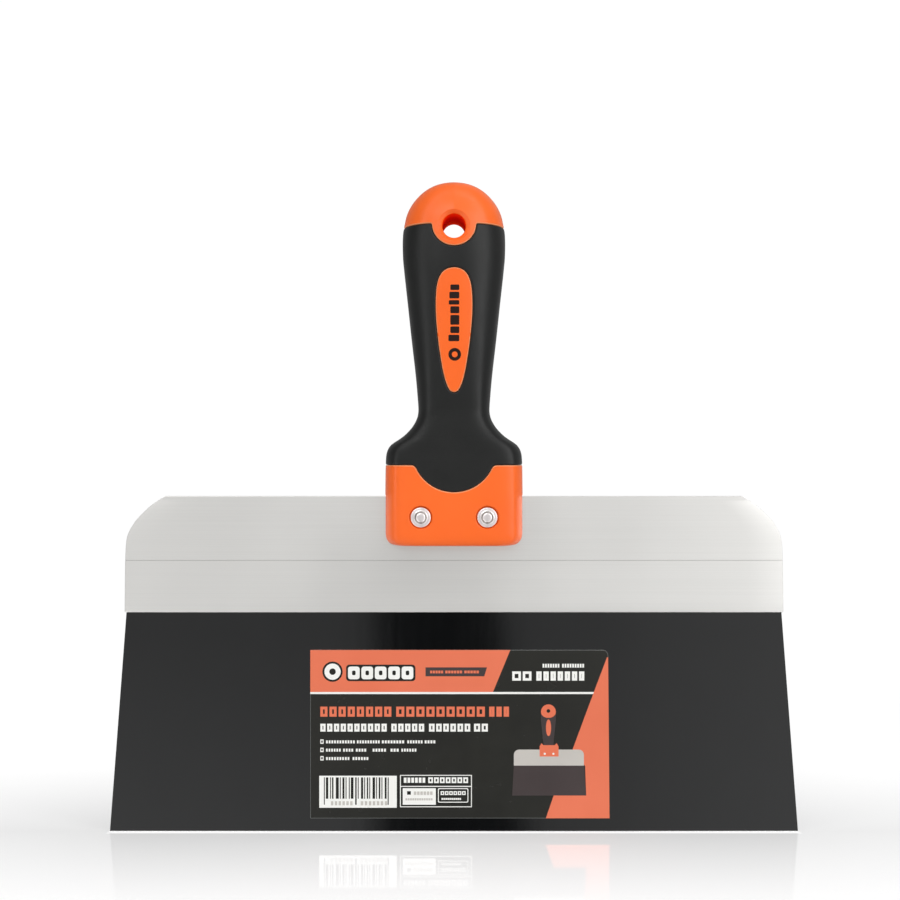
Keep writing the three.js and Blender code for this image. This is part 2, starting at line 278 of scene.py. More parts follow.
ALU, STEEL, GROUND = aluminium(), coated_steel(), ground_steel()
PLATED = plated("plated_steel", lin(228, 220, 220), lin(242, 235, 235))
# a darker grey for the sloping ring of the rivet heads: painted shade, not a different plating
GROOVE_SHADE = plated("plated_groove_painted_shade", lin(138, 134, 130), lin(158, 154, 150))
SEAM = plastic("seam_shadow", lin(158, 157, 156), lin(166, 165, 164), 0.6, 0.7, 900.0, 0.00001, 0.1)
CORAL = plastic("label_coral", lin(220, 112, 80), lin(225, 117, 85), 0.34, 0.42, 1200.0, 0.000008, 0.3)
DARK = plastic("label_dark", lin(31, 31, 28), lin(36, 36, 32), 0.22, 0.28, 1200.0, 0.000008, 0.3)
WHITE = plastic("label_white", lin(232, 232, 228), lin(240, 240, 236), 0.34, 0.42, 1200.0, 0.000008, 0.3)
GREY = plastic("label_grey", lin(186, 182, 176), lin(196, 192, 186), 0.34, 0.42, 1200.0, 0.000008, 0.3)
BROWN = plastic("label_brown", lin(58, 50, 50), lin(66, 57, 57), 0.34, 0.42, 1200.0, 0.000008, 0.3)
HAIR = plastic("label_edge", lin(92, 94, 92), lin(100, 102, 100), 0.34, 0.42, 1200.0, 0.000008, 0.3)

# =============================================================== the handle
# z, half width, half depth, share of the flat front, share of the flat side, crispness (mm)
ROWS = [
    [105.8, 21.3, 6.9, 0.84, 0.56, 12],
    [105.95, 22.4, 7.4, 0.84, 0.56, 12],
    [106.3, 23.35, 7.95, 0.84, 0.56, 12],
    [107.1, 24.35, 8.5, 0.84, 0.56, 12],
    [108.3, 25.08, 8.85, 0.84, 0.56, 12],
    [110.0, 25.35, 9.0, 0.84, 0.56, 12],
    [116.0, 25.35, 9.0, 0.84, 0.56, 12],
    [124.0, 25.35, 9.05, 0.84, 0.56, 12],
    [130.0, 25.3, 9.1, 0.84, 0.56, 12],
    [135.0, 25.22, 9.15, 0.84, 0.56, 12],
    [137.5, 25.12, 9.2, 0.835, 0.56, 12],
    [139.3, 24.92, 9.2, 0.83, 0.56, 11.5],
    [140.8, 24.45, 9.22, 0.82, 0.56, 11.5],
    [142.0, 23.8, 9.25, 0.81, 0.56, 11],
    [143.0, 22.82, 9.27, 0.8, 0.56, 11],
    [144.0, 21.37, 9.3, 0.79, 0.56, 11],
    [145.0, 19.76, 9.3, 0.78, 0.56, 10.5],
    [146.2, 18.22, 9.32, 0.765, 0.56, 10.5],
    [147.6, 16.77, 9.34, 0.75, 0.56, 10],
    [149.0, 15.57, 9.36, 0.735, 0.56, 10],
    [150.5, 14.57, 9.38, 0.72, 0.56, 10],
    [152.0, 13.82, 9.4, 0.71, 0.55, 10],
    [153.6, 13.32, 9.44, 0.7, 0.55, 10],
    [155.4, 13.12, 9.55, 0.695, 0.55, 10],
    [157.4, 13.2, 9.85, 0.69, 0.55, 10],
    [160.0, 13.4, 10.2, 0.68, 0.54, 10],
    [165.0, 13.81, 10.7, 0.66, 0.53, 9.5],
    [171.0, 14.42, 11.25, 0.63, 0.52, 9.5],
    [178.0, 15.24, 11.9, 0.6, 0.51, 9],
    [186.0, 16.13, 12.6, 0.57, 0.5, 9],
    [194.0, 16.98, 13.2, 0.55, 0.5, 9],
    [201.0, 17.76, 13.6, 0.53, 0.49, 8.5],
    [207.0, 18.4, 13.85, 0.52, 0.48, 8],
    [212.0, 18.84, 13.95, 0.51, 0.47, 7],
    [216.5, 18.94, 13.98, 0.5, 0.46, 6.2],
    [220.0, 18.82, 13.95, 0.5, 0.45, 5.6],
    [223.0, 18.45, 13.88, 0.5, 0.45, 5.2],
]
DOME_Z, TOP_Z = 223.0, 239.3
DOME_W = (TOP_Z - DOME_Z) * PI / 2
W_MAX = DOME_Z + DOME_W
_z = [r[0] for r in ROWS]
A, B, X1, Y1, PP = (Pchip(_z, [r[i] for r in ROWS]) for i in range(1, 6))
# half width of the rounded end before it closes, against the share of its height
DOME_FULL = Pchip(
    [0, 0.066, 0.2, 0.34, 0.47, 0.61, 0.7, 0.79, 0.86, 0.905, 0.95, 1.0],
    [18.45, 18.2, 18.1, 18.02, 17.97, 17.98, 18.1, 18.45, 18.9, 19.4, 20.2, 21.6],
)


def form(w):
    """The row at domain height w: z, half width, half depth and the three shape numbers."""
    w = np.asarray(w, float)
    up = np.clip((w - DOME_Z) / DOME_W, 0, 1)
    t = np.sin(up * PI / 2)
    z = np.where(w <= DOME_Z, w, DOME_Z + (TOP_Z - DOME_Z) * t)
    zc = np.minimum(z, DOME_Z)
    a = np.where(up > 0, DOME_FULL(t), A(zc)) * np.sqrt(np.maximum(1 - t * t, 0))
    b = B(zc) * np.maximum(1 - t**2.3, 0) ** (1 / 2.3)
    return z, a, b, X1(zc), Y1(zc), PP(zc) - 1.7 * t


def unit_section(u, x1, y1, p):
    beta = (1 - x1) / (1 - x1 * y1)
    alpha = 1 - beta * y1
    c, s = np.abs(np.cos(u)), np.abs(np.sin(u))
    f = (c**p + s**p + (alpha * c + beta * s) ** p) ** (1 / p)
    return np.cos(u) / f * (1 + alpha**p) ** (1 / p), np.sin(u) / f * (1 + beta**p) ** (1 / p)


def surf(u, w):
    z, a, b, x1, y1, p = form(w)
    sx, sy = unit_section(u, x1, y1, p)
    return np.stack([a * sx, b * sy, z], -1)


def surf_normal(u, w):
    e = 2e-3
    wl, wh = np.maximum(w - 0.02, ROWS[0][0]), np.minimum(w + 0.02, W_MAX - 0.01)
    wl = np.minimum(wl, wh - 0.01)
    n = np.cross(surf(u + e, w) - surf(u - e, w), surf(u, wh) - surf(u, wl))
    l = np.linalg.norm(n, axis=-1, keepdims=True)
    n = n / np.maximum(l, 1e-12)
    pole = (w > W_MAX - 0.3) | (l[..., 0] < 1e-9)
    n[pole] = (0, 0, 1)
    return n


def w_of_z(z):
    z = np.asarray(z, float)
    return np.where(z <= DOME_Z, z, DOME_Z + DOME_W * 2 / PI * np.arcsin(np.clip((z - DOME_Z) / (TOP_Z - DOME_Z), 0, 1)))


_grid_u = np.linspace(PI, 2 * PI, 2001)


def uw_of_xz(pts):
    """Front-half domain points of (x, z) points."""
    out = []
    for x, z in pts:
        w = float(w_of_z(z))
        xs = surf(_grid_u, np.full(_grid_u.shape, w))[:, 0]
        out.append((float(np.interp(x, xs, _grid_u)), w))
    return out


U_SCALE = 18.0


def dom(uw):
    uw = np.asarray(uw, float)
    return np.stack([(uw[:, 0] - 1.5 * PI) * U_SCALE, uw[:, 1]], -1)


# --------------------------------------------------------------- outlines on the handle
HOLE_Z, HOLE_R, RIM, RIM_DEPTH = 221.7, 4.5, 1.3, 1.3
BOSS_Z, BOSS_R, CAP_Z = 222.4, 8.1, 222.5
SCALLOP_Z, SCALLOP_R, BASE_Z = 140.7, 15.2, 135.3
RIVET_X, RIVET_Z, CBORE_R, CBORE_FLOOR = 12.1, 116.3, 4.15, 8.1
OVAL = [
    (206.6, 0), (206.3, 1.9), (205.4, 3.75), (203.9, 5.05), (201.5, 6.05), (198.5, 6.6),
    (193.4, 6.84), (188.0, 6.65), (183.0, 6.2), (178.0, 5.6), (173.5, 4.9), (169.4, 4.15),
    (166.2, 3.35), (163.9, 2.5), (162.35, 1.6), (161.75, 0.7),
]


def fillet(before, corner, after, n=6):
    """Points of a quadratic curve that rounds a corner."""
    b, c, a = np.array(before), np.array(corner), np.array(after)
    return [tuple((1 - t) ** 2 * b + 2 * t * (1 - t) * c + t * t * a) for t in np.linspace(0, 1, n)]


def cap_curve():
    dz = CAP_Z - BOSS_Z
    a = math.asin(dz / BOSS_R)
    f = 0.9 / BOSS_R
    xc = BOSS_R * math.cos(a)
    p = lambda t: (BOSS_R * math.cos(t), BOSS_Z + BOSS_R * math.sin(t))
    left = fillet((-xc - 0.9, CAP_Z), (-xc, CAP_Z), p(PI - a + f))
    mid = [p(t) for t in np.linspace(PI - a + f, 2 * PI + a - f, 44)[1:-1]]
    right = [(-x, z) for x, z in reversed(left)]
    return left + mid + right


def base_curve():
    dz = BASE_Z - SCALLOP_Z
    a = math.asin(dz / SCALLOP_R)
    f = 1.5 / SCALLOP_R
    xc = SCALLOP_R * math.cos(a)
    p = lambda t: (SCALLOP_R * math.cos(t), SCALLOP_Z + SCALLOP_R * math.sin(t))
    left = fillet((-xc - 1.5, BASE_Z), (-xc, BASE_Z), p(PI - a + f))
    mid = [p(t) for t in np.linspace(PI - a + f, 2 * PI + a - f, 56)[1:-1]]
    right = [(-x, z) for x, z in reversed(left)]
    return left + mid + right


def oval_curve():
    right = [(w, z) for z, w in OVAL[1:]]
    ring = [(0, 206.6)] + right + [(0, 161.6)] + [(-x, z) for x, z in reversed(right)]
    pts = np.array(ring)
    n = len(pts)
    out = []
    for i in range(n):
        p0, p1, p2, p3 = pts[i - 1], pts[i], pts[(i + 1) % n], pts[(i + 2) % n]
        for t in (0, 0.25, 0.5, 0.75):
            out.append(tuple(0.5 * (2 * p1 + (p2 - p0) * t + (2 * p0 - 5 * p1 + 4 * p2 - p3) * t * t + (3 * p1 - p0 - 3 * p2 + p3) * t**3)))
    return out


def offset_xz(curve, d, closed):
    """The curve moved by d to the left of its direction of travel."""
    c = np.array(curve)
    if closed:
        t = np.roll(c, -1, 0) - np.roll(c, 1, 0)
    else:
        t = np.gradient(c, axis=0)
    t /= np.maximum(np.linalg.norm(t, axis=1, keepdims=True), 1e-9)
    return [tuple(p) for p in c + np.stack([-t[:, 1], t[:, 0]], 1) * d]


# a plain ring and a column of plain blocks stand for the mark and the word on the oval
PRINT = [circle(0.25, 175.3, 2.3, 30), circle(0.25, 175.3, 1.05, 20)]
_top = 200.3
for tall, x0, x1 in ((2.0, -1.35, 1.9), (2.4, -1.7, 1.9), (1.6, -1.9, 1.9), (2.5, -1.35, 1.9), (3.5, -1.35, 1.9), (2.4, -1.35, 1.9), (2.3, -2.05, 1.9)):
    PRINT.append(rounded_rect(x0, x1, _top - tall, _top, 0.4, 3))
    _top -= tall + 0.6

curves = []  # (name, points in (u, w), closed)
free = []  # extra points in (u, w)
OFFSETS = (0.1, 0.24, 0.42, 0.7, 1.0)


def side_line(curve_xz, z):
    """A curve on the front, carried on round both sides at height z."""
    mid = uw_of_xz(curve_xz)
    w = float(w_of_z(z))
    ul, ur = mid[0][0], mid[-1][0]
    nl = 34
    left = [(u, w) for u in np.linspace(PI, ul, nl)[:-1]]
    right = [(u, w) for u in np.linspace(ur, 2 * PI, nl)[1:]]
    return left + mid + right, left, right


for name, xz, z in (("cap", cap_curve(), CAP_Z), ("base", base_curve(), BASE_Z)):
    line, left, right = side_line(xz, z)
    curves.append((name, line, False))
    for d in OFFSETS:
        for s in (-1, 1):
            free += uw_of_xz(offset_xz(xz, s * d, False))
            free += [(u, float(w_of_z(z + s * d))) for u, _ in left + right]
ov = oval_curve()
curves.append(("oval", uw_of_xz(ov), True))
for d in OFFSETS:
    for s in (-1, 1):
        free += uw_of_xz(offset_xz(ov, s * d, True))
curves.append(("hole", uw_of_xz(circle(0, HOLE_Z, HOLE_R, 56)), True))
for d in (0.06, 0.22, 0.45, 0.7, 0.95, 1.18, 1.28, 1.34, 1.45, 1.65):
    free += uw_of_xz(circle(0, HOLE_Z, HOLE_R + d, 56))
for s in (-1, 1):
    curves.append(("cbore", uw_of_xz(circle(s * RIVET_X, RIVET_Z, CBORE_R, 48)), True))
    for d in (0.06, 0.15, 0.3, 0.6):
        free += uw_of_xz(circle(s * RIVET_X, RIVET_Z, CBORE_R + d, 48))
for p in PRINT:
    curves.append(("print", uw_of_xz(p), True))

# --------------------------------------------------------------- triangulated front half
points, edges = [], []
for name, uw, closed in curves:
    start = len(points)
    points += [tuple(p) for p in dom(uw)]
    n = len(uw)
    edges += [(start + i, start + (i + 1) % n) for i in range(n if closed else n - 1)]
fixed = np.array(points)
w_rows = sorted(set([105.8, 105.83, 105.88, 105.96, 106.08, 106.25, 106.5, 106.85, 107.3, 107.8, 108.4] + [109.0 + 1.05 * i for i in range(int((W_MAX - 109.0) / 1.05))] + [W_MAX - 0.5]))
lattice, border = [], []
for k, w in enumerate(w_rows):
    uu = np.linspace(PI, 2 * PI, 700)
    P = surf(uu, np.full(700, w))
    s = np.concatenate([[0], np.cumsum(np.linalg.norm(np.diff(P, axis=0), axis=1))])
    n = max(8, int(round(s[-1] / 0.9)))
    shift = 0.5 if k % 2 else 0.0
    inner = np.interp((np.arange(1 if not shift else 0, n) + shift) / n * s[-1], s, uu)
    lattice += [(u, w) for u in inner]
    border += [(PI, w), (2 * PI, w)]
for w in (W_MAX,):
    border += [(u, w) for u in np.linspace(PI, 2 * PI, 9)]
bottom = [(u, w_rows[0]) for u in np.linspace(PI, 2 * PI, 74)[1:-1]]
lattice = [p for p in lattice if p[1] > w_rows[0] + 1e-6]
F3 = dom(free)
L3 = dom(lattice)


def all_lines_distance(pts):
    d = np.full(len(pts), 1e9)
    for name, uw, closed in curves:
        q = dom(uw)
        if closed:
            q = np.vstack([q, q[:1]])
        d = np.minimum(d, seg_distance(pts, q))
    return d


F3 = F3[all_lines_distance(F3) > 0.05]
L3 = L3[all_lines_distance(L3) > 0.75]


def away_from(pts, others, dist):
    """The points that are further than dist from every other point."""
    keep = np.ones(len(pts), bool)
    for s in range(0, len(pts), 800):
        p = pts[s : s + 800]
        keep[s : s + 800] = ((p[:, None, :] - others[None]) ** 2).sum(2).min(1) > dist * dist
    return pts[keep]


def thin_out(pts, dist):
    """Drops points closer than dist to one already kept."""
    cells, out = {}, []
    for x, y in pts:
        c = (int(x // dist), int(y // dist))
        near = any(
            (x - q[0]) ** 2 + (y - q[1]) ** 2 < dist * dist
            for i in (-1, 0, 1)
            for j in (-1, 0, 1)
            for q in cells.get((c[0] + i, c[1] + j), ())
        )
        if not near:
            cells.setdefault(c, []).append((x, y))
            out.append((x, y))
    return np.array(out)


F3 = thin_out(F3, 0.045)
L3 = away_from(L3, F3, 0.5)
bd = np.vstack([dom(border), dom(bottom)])
limit_u = (PI / 2) * U_SCALE
F3 = F3[np.abs(F3[:, 0]) < limit_u - 0.05]
L3 = L3[np.abs(L3[:, 0]) < limit_u - 0.2]
side_hits = np.array([p for p in bd if abs(abs(p[0]) - limit_u) < 1e-6])
all_pts = np.vstack([fixed, bd, F3, L3])
cv, ce, cf, _, _, _ = delaunay_2d_cdt([Vector(p) for p in all_pts], edges, [], 0, 1e-4)
D = np.array([tuple(v) for v in cv])
T = np.array([tuple(f) for f in cf if len(f) == 3])
area = np.cross(D[T[:, 1]] - D[T[:, 0]], D[T[:, 2]] - D[T[:, 0]])
T[area < 0] = T[area < 0][:, ::-1]
T = T[np.abs(area) > 1e-7]
U = D[:, 0] / U_SCALE + 1.5 * PI
U = np.where(np.abs(U - PI) < 1e-5, PI, np.where(np.abs(U - 2 * PI) < 1e-5, 2 * PI, U))
W = D[:, 1]
P0 = surf(U, W)
P0[:, 1] = np.where((U == PI) | (U == 2 * PI), 0.0, P0[:, 1])
P0[W > W_MAX - 1e-4] = (0, 0, TOP_Z)
N0 = surf_normal(U, W)
N0[(U == PI) | (U == 2 * PI), 1] = 0.0

centre = P0[T].mean(1)
cx, cz = centre[:, 0], centre[:, 2]
dcent = D[T].mean(1)
oval_dom = dom(curves[2][1])


def below(line_uw, pts):
    """True where the domain point lies under an open curve that runs from side to side."""
    poly = np.vstack([dom(line_uw), [(limit_u + 1, dom(line_uw)[-1][1]), (limit_u + 1, 0), (-limit_u - 1, 0), (-limit_u - 1, dom(line_uw)[0][1])]])
    return in_polygon(pts, poly)


REG_GRIP, REG_CAP, REG_OVAL, REG_BASE, REG_HOLE, REG_CBORE = 0, 1, 2, 3, 4, 5
region = np.zeros(len(T), int)
region[~below(curves[0][1], dcent)] = REG_CAP
region[below(curves[1][1], dcent)] = REG_BASE
region[in_polygon(dcent, oval_dom)] = REG_OVAL
region[np.hypot(cx, cz - HOLE_Z) < HOLE_R - 0.01] = REG_HOLE
for s in (-1, 1):
    region[np.hypot(cx - s * RIVET_X, cz - RIVET_Z) < CBORE_R - 0.01] = REG_CBORE
printed = np.zeros(len(T), bool)
for name, uw, closed in curves:
    if name == "print":
        printed ^= in_polygon(dcent, dom(uw))

# distances on the surface to the parting line, the hole and the counterbores
part_dist = np.full(len(P0), 1e9)
for name, uw, closed in curves:
    if name in ("cap", "base", "oval"):
        q = surf(*np.array(uw + ([uw[0]] if closed else [])).T)
        part_dist = np.minimum(part_dist, seg_distance(P0, q))
hole_dist = np.hypot(P0[:, 0], P0[:, 2] - HOLE_Z) - HOLE_R
cb_dist = np.minimum(*(np.hypot(P0[:, 0] - s * RIVET_X, P0[:, 2] - RIVET_Z) - CBORE_R for s in (-1, 1)))


def rounding(d, r):
    d = np.clip(d, 0, r)
    return r - np.sqrt(np.maximum(r * r - (r - d) ** 2, 0))


def boundary_shift(tris, dist):
    """For the vertices on the parting line: a small step into the given region."""
    on = dist < 1e-3
    push = np.zeros_like(P0)
    count = np.zeros(len(P0))
    for a, b, c in tris:
        for i, j, k in ((a, b, c), (b, c, a), (c, a, b)):
            if on[i]:
                for o in (j, k):
                    if not on[o]:
                        push[i] += P0[o] - P0[i]
                        count[i] += 1
    l = np.linalg.norm(push, axis=1, keepdims=True)
    push = push / np.maximum(l, 1e-9)
    push[U == PI, 1] = 0
    push[U == 2 * PI, 1] = 0
    return push


CORE_ROUND, GRIP_ROUND, HALF_GAP, OVAL_DROP = 0.45, 0.6, 0.09, 0.3
orange_t = T[(region == REG_CAP) | (region == REG_OVAL) | (region == REG_BASE)]
grip_t = T[region == REG_GRIP]
in_oval_v = np.zeros(len(P0), bool)
in_oval_v[np.unique(T[region == REG_OVAL])] = True
depth_core = rounding(part_dist, CORE_ROUND)
chamfer = RIM_DEPTH * np.clip(1 - hole_dist / RIM, 0, 1) + 0.12 * np.clip(1 - hole_dist / 0.15, 0, 1)
depth_core = np.maximum(depth_core, chamfer)
depth_core = np.maximum(depth_core, rounding(cb_dist, 0.3))
depth_core = depth_core + np.where(in_oval_v, OVAL_DROP, 0)
depth_grip = rounding(part_dist, GRIP_ROUND)
core_out = P0 - N0 * depth_core[:, None] + boundary_shift(orange_t, part_dist) * HALF_GAP
core_in = P0 - N0 * 2.3
core_in_edge = core_in + boundary_shift(orange_t, part_dist) * HALF_GAP
grip_out = P0 - N0 * depth_grip[:, None] + boundary_shift(grip_t, part_dist) * HALF_GAP
grip_in = P0 - N0 * 2.0 + boundary_shift(grip_t, part_dist) * HALF_GAP
on_part = part_dist < 1e-3
core_in = np.where(on_part[:, None], core_in_edge, core_in)

nP = len(P0)
MIRROR = np.array([1, -1, 1])


def edge_owner(tris):
    owner = {}
    for a, b, c in tris:
        for i, j in ((a, b), (b, c), (c, a)):
            owner[(i, j)] = True
    return owner


def half_and_mirror(verts, tris):
    """Front half plus its mirror image, with the faces turned round."""
    v = np.vstack([verts, verts * MIRROR])
    n = len(verts)
    t = [tuple(f) for f in tris] + [tuple(i + n for i in reversed(f)) for f in tris]
    return v, t


def build_core():
    verts = np.vstack([core_out, core_in])
    faces, fm = [], []
    for tri, reg, pr in zip(T, region, printed):
        if reg in (REG_CAP, REG_OVAL, REG_BASE):
            faces.append(tuple(tri))
            # material 3, the paler orange within 0.45 mm of the parting line, is a painted highlight
            fm.append(1 if pr else 3 if part_dist[tri].max() < 0.45 else 0)
        elif reg == REG_GRIP:
            faces.append(tuple(tri + nP))
            fm.append(0)
    own_o, own_g = edge_owner(orange_t), edge_owner(grip_t)
    for (i, j) in own_o:
        if (j, i) in own_g:
            faces.append((j, i, i + nP, j + nP))
            fm.append(0)
    # open rims of the counterbores: a wall down to a floor
    rims = edge_owner(T[region == REG_BASE])
    cb = edge_owner(T[region == REG_CBORE])
    extra, floor_of = [], {}
    for (i, j) in rims:
        if (j, i) in cb:
            for k in (i, j):
                if k not in floor_of:
                    floor_of[k] = 2 * nP + len(extra)
                    p = core_out[k].copy()
                    p[1] = -CBORE_FLOOR
                    extra.append(p)
            faces.append((j, i, floor_of[i], floor_of[j]))
            fm.append(0)
    for s in (-1, 1):
        ring = sorted((k for k in floor_of if P0[k][0] * s > 0), key=lambda k: math.atan2(P0[k][2] - RIVET_Z, P0[k][0] - s * RIVET_X))
        c = 2 * nP + len(extra)
        extra.append(np.array([s * RIVET_X, -CBORE_FLOOR, RIVET_Z]))
        for a, b in zip(ring, ring[1:] + ring[:1]):
            faces.append((floor_of[a], floor_of[b], c))
            fm.append(0)
    verts = np.vstack([verts, np.array(extra)])
    n = len(verts)
    v, f = half_and_mirror(verts, faces)
    fm = fm + fm
    # the hang hole's wall, from face to face
    rim = edge_owner(T[(region == REG_CAP)])
    ho = edge_owner(T[region == REG_HOLE])
    for (i, j) in rim:
        if (j, i) in ho:
            f.append((j, i, i + n, j + n))
            # the hole wall takes the deeper red, painted shade
            fm.append(2)
    return v, f, fm


def build_grip():
    verts = np.vstack([grip_out, grip_in])
    faces = [tuple(t) for t in grip_t] + [tuple(reversed([i + nP for i in t])) for t in grip_t]
    own_o, own_g = edge_owner(orange_t), edge_owner(grip_t)
    for (i, j) in own_g:
        if (j, i) in own_o:
            faces.append((j, i, i + nP, j + nP))
    v, f = half_and_mirror(verts, faces)
    return v, f


def close_bottom(ob):
    bm = bmesh.new()
    bm.from_mesh(ob.data)
    z0 = ROWS[0][0] * MM
    rim = [e for e in bm.edges if e.is_boundary and all(abs(v.co.z - z0) < 1e-6 for v in e.verts)]
    bmesh.ops.contextual_create(bm, geom=rim)
    bmesh.ops.recalc_face_normals(bm, faces=bm.faces)
    open_edges = sum(1 for e in bm.edges if not e.is_manifold)
    bm.to_mesh(ob.data)
    bm.free()
    print(ob.name, "open edges:", open_edges, "faces:", len(ob.data.polygons))


def cut_box(ob, x0, x1, y0, y1, z0, z1):
    """Takes a box out of a closed mesh."""
    c = [(x, y, z) for x in (x0, x1) for y in (y0, y1) for z in (z0, z1)]
    q = [(0, 1, 3, 2), (4, 6, 7, 5), (0, 4, 5, 1), (2, 3, 7, 6), (0, 2, 6, 4), (1, 5, 7, 3)]
    cutter = mesh_object("cutter", c, q, [])
    tidy(cutter)
    mod = ob.modifiers.new("cut", "BOOLEAN")
    mod.operation = "DIFFERENCE"
    mod.solver = "EXACT"
    mod.object = cutter
    deps = bpy.context.evaluated_depsgraph_get()
    me = bpy.data.meshes.new_from_object(ob.evaluated_get(deps))
    ob.modifiers.clear()
    ob.data = me
    bpy.data.objects.remove(cutter)


def shade_from_form(ob, limit=48):
    """Normals taken from the exact form away from the grooves, so facets and highlights stay clean."""
    me = ob.data
    nv = len(me.vertices)
    co = np.zeros(nv * 3)
    me.vertices.foreach_get("co", co)
    co = co.reshape(-1, 3) / MM
    vn = np.zeros(nv * 3)
    me.vertex_normals.foreach_get("vector", vn)
    vn = vn.reshape(-1, 3)
    # nearest entry of the analytic skin, by exact position
    table = {}
    for pts in (core_out, grip_out):
        for k in range(nP):
            if part_dist[k] > 0.62 and hole_dist[k] > RIM + 0.02 and cb_dist[k] > 0.35:
                x, y, z = pts[k]
                for m in (1, -1):
                    table[(round(x, 3), round(y * m, 3), round(z, 3))] = (N0[k][0], N0[k][1] * m, N0[k][2])
    n = vn.copy()
    for i, (x, y, z) in enumerate(co):
        hit = table.get((round(x, 3), round(y, 3), round(z, 3)))
        if hit is not None:
            n[i] = hit
    nl = len(me.loops)
    lv = np.zeros(nl, np.int32)
    me.loops.foreach_get("vertex_index", lv)
    pn = np.zeros(len(me.polygons) * 3)
    me.polygon_normals.foreach_get("vector", pn)
    pn = pn.reshape(-1, 3)
    tot = np.zeros(len(me.polygons), np.int32)
    me.polygons.foreach_get("loop_total", tot)
    ln_face = np.repeat(pn, tot, axis=0)
    ln = n[lv]
    sharp = (ln * ln_face).sum(1) < math.cos(math.radians(limit))
    ln[sharp] = ln_face[sharp]
    me.normals_split_custom_set([tuple(v) for v in ln])


v, f, fm = build_core()
core = mesh_object("handle_core_look", v, f, [ORANGE, INK, BORE_SHADE, EDGE_HIGHLIGHT], fm)
tidy(core, merge=2e-7)
close_bottom(core)
cut_box(core, -40, 40, -1.5, 1.5, 90, 124.3)
tidy(core, merge=1e-8)
shade_from_form(core)
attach(core, "handle")
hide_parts("handle_core")

v, f = build_grip()
grip = mesh_object("grip_look", v, f, [RUBBER])
tidy(grip, merge=2e-7)
bm = bmesh.new()
bm.from_mesh(grip.data)
print("grip open edges:", sum(1 for e in bm.edges if not e.is_manifold), "faces:", len(bm.faces))
bm.free()
shade_from_form(grip)
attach(grip, "handle")
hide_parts("grip_overmould")


# =============================================================== rivets and washers
def lathe(name, profile, x, z, mats, shade_band=None, around=56):
    """Turns a closed profile of (radius, y) points about the Y axis at (x, z); head faces within the given band of
    radii take the second material, a painted shade.
    """
    verts, faces, fm = [], [], []
    n = len(profile)
    for k in range(around):
        a = 2 * PI * k / around
        for r, y in profile:
            verts.append((x + r * math.cos(a), y, z + r * math.sin(a)))
    for k in range(around):
        for i in range(n):
            j = (i + 1) % n
            k2 = (k + 1) % around
            faces.append((k * n + i, k * n + j, k2 * n + j, k2 * n + i))
            r, y = (profile[i][0] + profile[j][0]) / 2, (abs(profile[i][1]) + abs(profile[j][1])) / 2
            # head faces inside the band of radii get the darker grey, painted shade
            fm.append(1 if shade_band and shade_band[0] < r < shade_band[1] and y > SEAT + 0.1 else 0)
    ob = mesh_object(name, verts, faces, mats, fm)
    tidy(ob, 50, merge=1e-7)
    return ob


SEAT = CBORE_FLOOR + 0.6


def head_profile(s):
    """A rivet head: a sloping shoulder and a low dome; s is -1 at the front."""
    pts = [(2.69, 0.02), (2.66, 0.1), (2.5, 0.15), (2.3, 0.19), (1.95, 0.52), (1.66, 0.8), (1.5, 0.88), (1.3, 0.925), (0.9, 0.955), (0.45, 0.968), (0.0, 0.97)]
    return [(r, s * (SEAT + y)) for r, y in pts]


for side, x in (("left", -RIVET_X), ("right", RIVET_X)):
    front, rear = head_profile(-1), head_profile(1)
    prof = list(reversed(front)) + [(2.69, -SEAT), (2.0, -SEAT), (2.0, SEAT), (2.69, SEAT)] + rear
    # the sloping ring of each head between radii 1.6 and 2.25 is painted darker as shade
    ob = lathe(f"rivet_{side}_look", prof, x, RIVET_Z, [PLATED, GROOVE_SHADE], (1.6, 2.25))
    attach(ob, "handle")
    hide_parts(f"rivet_{side}")
    for face, s in (("front", -1), ("rear", 1)):
        y0, y1 = CBORE_FLOOR, SEAT
        ring = [(2.15, y0), (3.62, y0), (3.68, y0 + 0.06), (3.68, y1 - 0.2), (3.6, y1 - 0.07), (3.45, y1), (2.6, y1 - 0.02), (2.15, y1 - 0.02)]
        ob = lathe(f"washer_{face}_{side}_look", [(r, s * y) for r, y in ring], x, RIVET_Z, [PLATED])
        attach(ob, "handle")
        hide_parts(f"washer_{face}_{side}")

# =============================================================== the backing
BZ0, BZ1 = 81.0, 123.8
SLOT, SLOT_TOP = 0.3, 98.7
prof = [  # z, half thickness, from the mouth to the top
    (81.0, 1.02), (81.02, 1.12), (81.07, 1.2), (81.14, 1.27), (81.22, 1.32), (81.32, 1.36), (81.42, 1.385), (81.55, 1.4),
    (84.0, 1.4), (88.0, 1.4), (92.0, 1.4), (96.0, 1.4), (99.9, 1.4), (100.09, 1.4),
    (100.1, 1.1), (100.2, 1.1), (100.21, 1.37), (100.4, 1.37),
    (104.0, 1.37), (106.0, 1.37), (108.0, 1.37), (110.0, 1.37), (112.0, 1.37), (114.0, 1.37), (116.0, 1.37), (118.0, 1.37), (120.0, 1.37), (122.0, 1.37),
    (123.68, 1.37), (123.73, 1.355), (123.78, 1.32), (123.8, 1.25),
]
BACK_SIDE = [
    (81.0, 121.3), (100.0, 121.1), (105.6, 120.85), (107.5, 120.65), (109.3, 120.25), (111.2, 119.45), (113.0, 118.4),
    (114.85, 117.15), (116.3, 115.85), (118.3, 113.85), (120.35, 111.6), (122.2, 109.0), (123.8, 106.4),
]
back_half = Pchip(*zip(*BACK_SIDE))


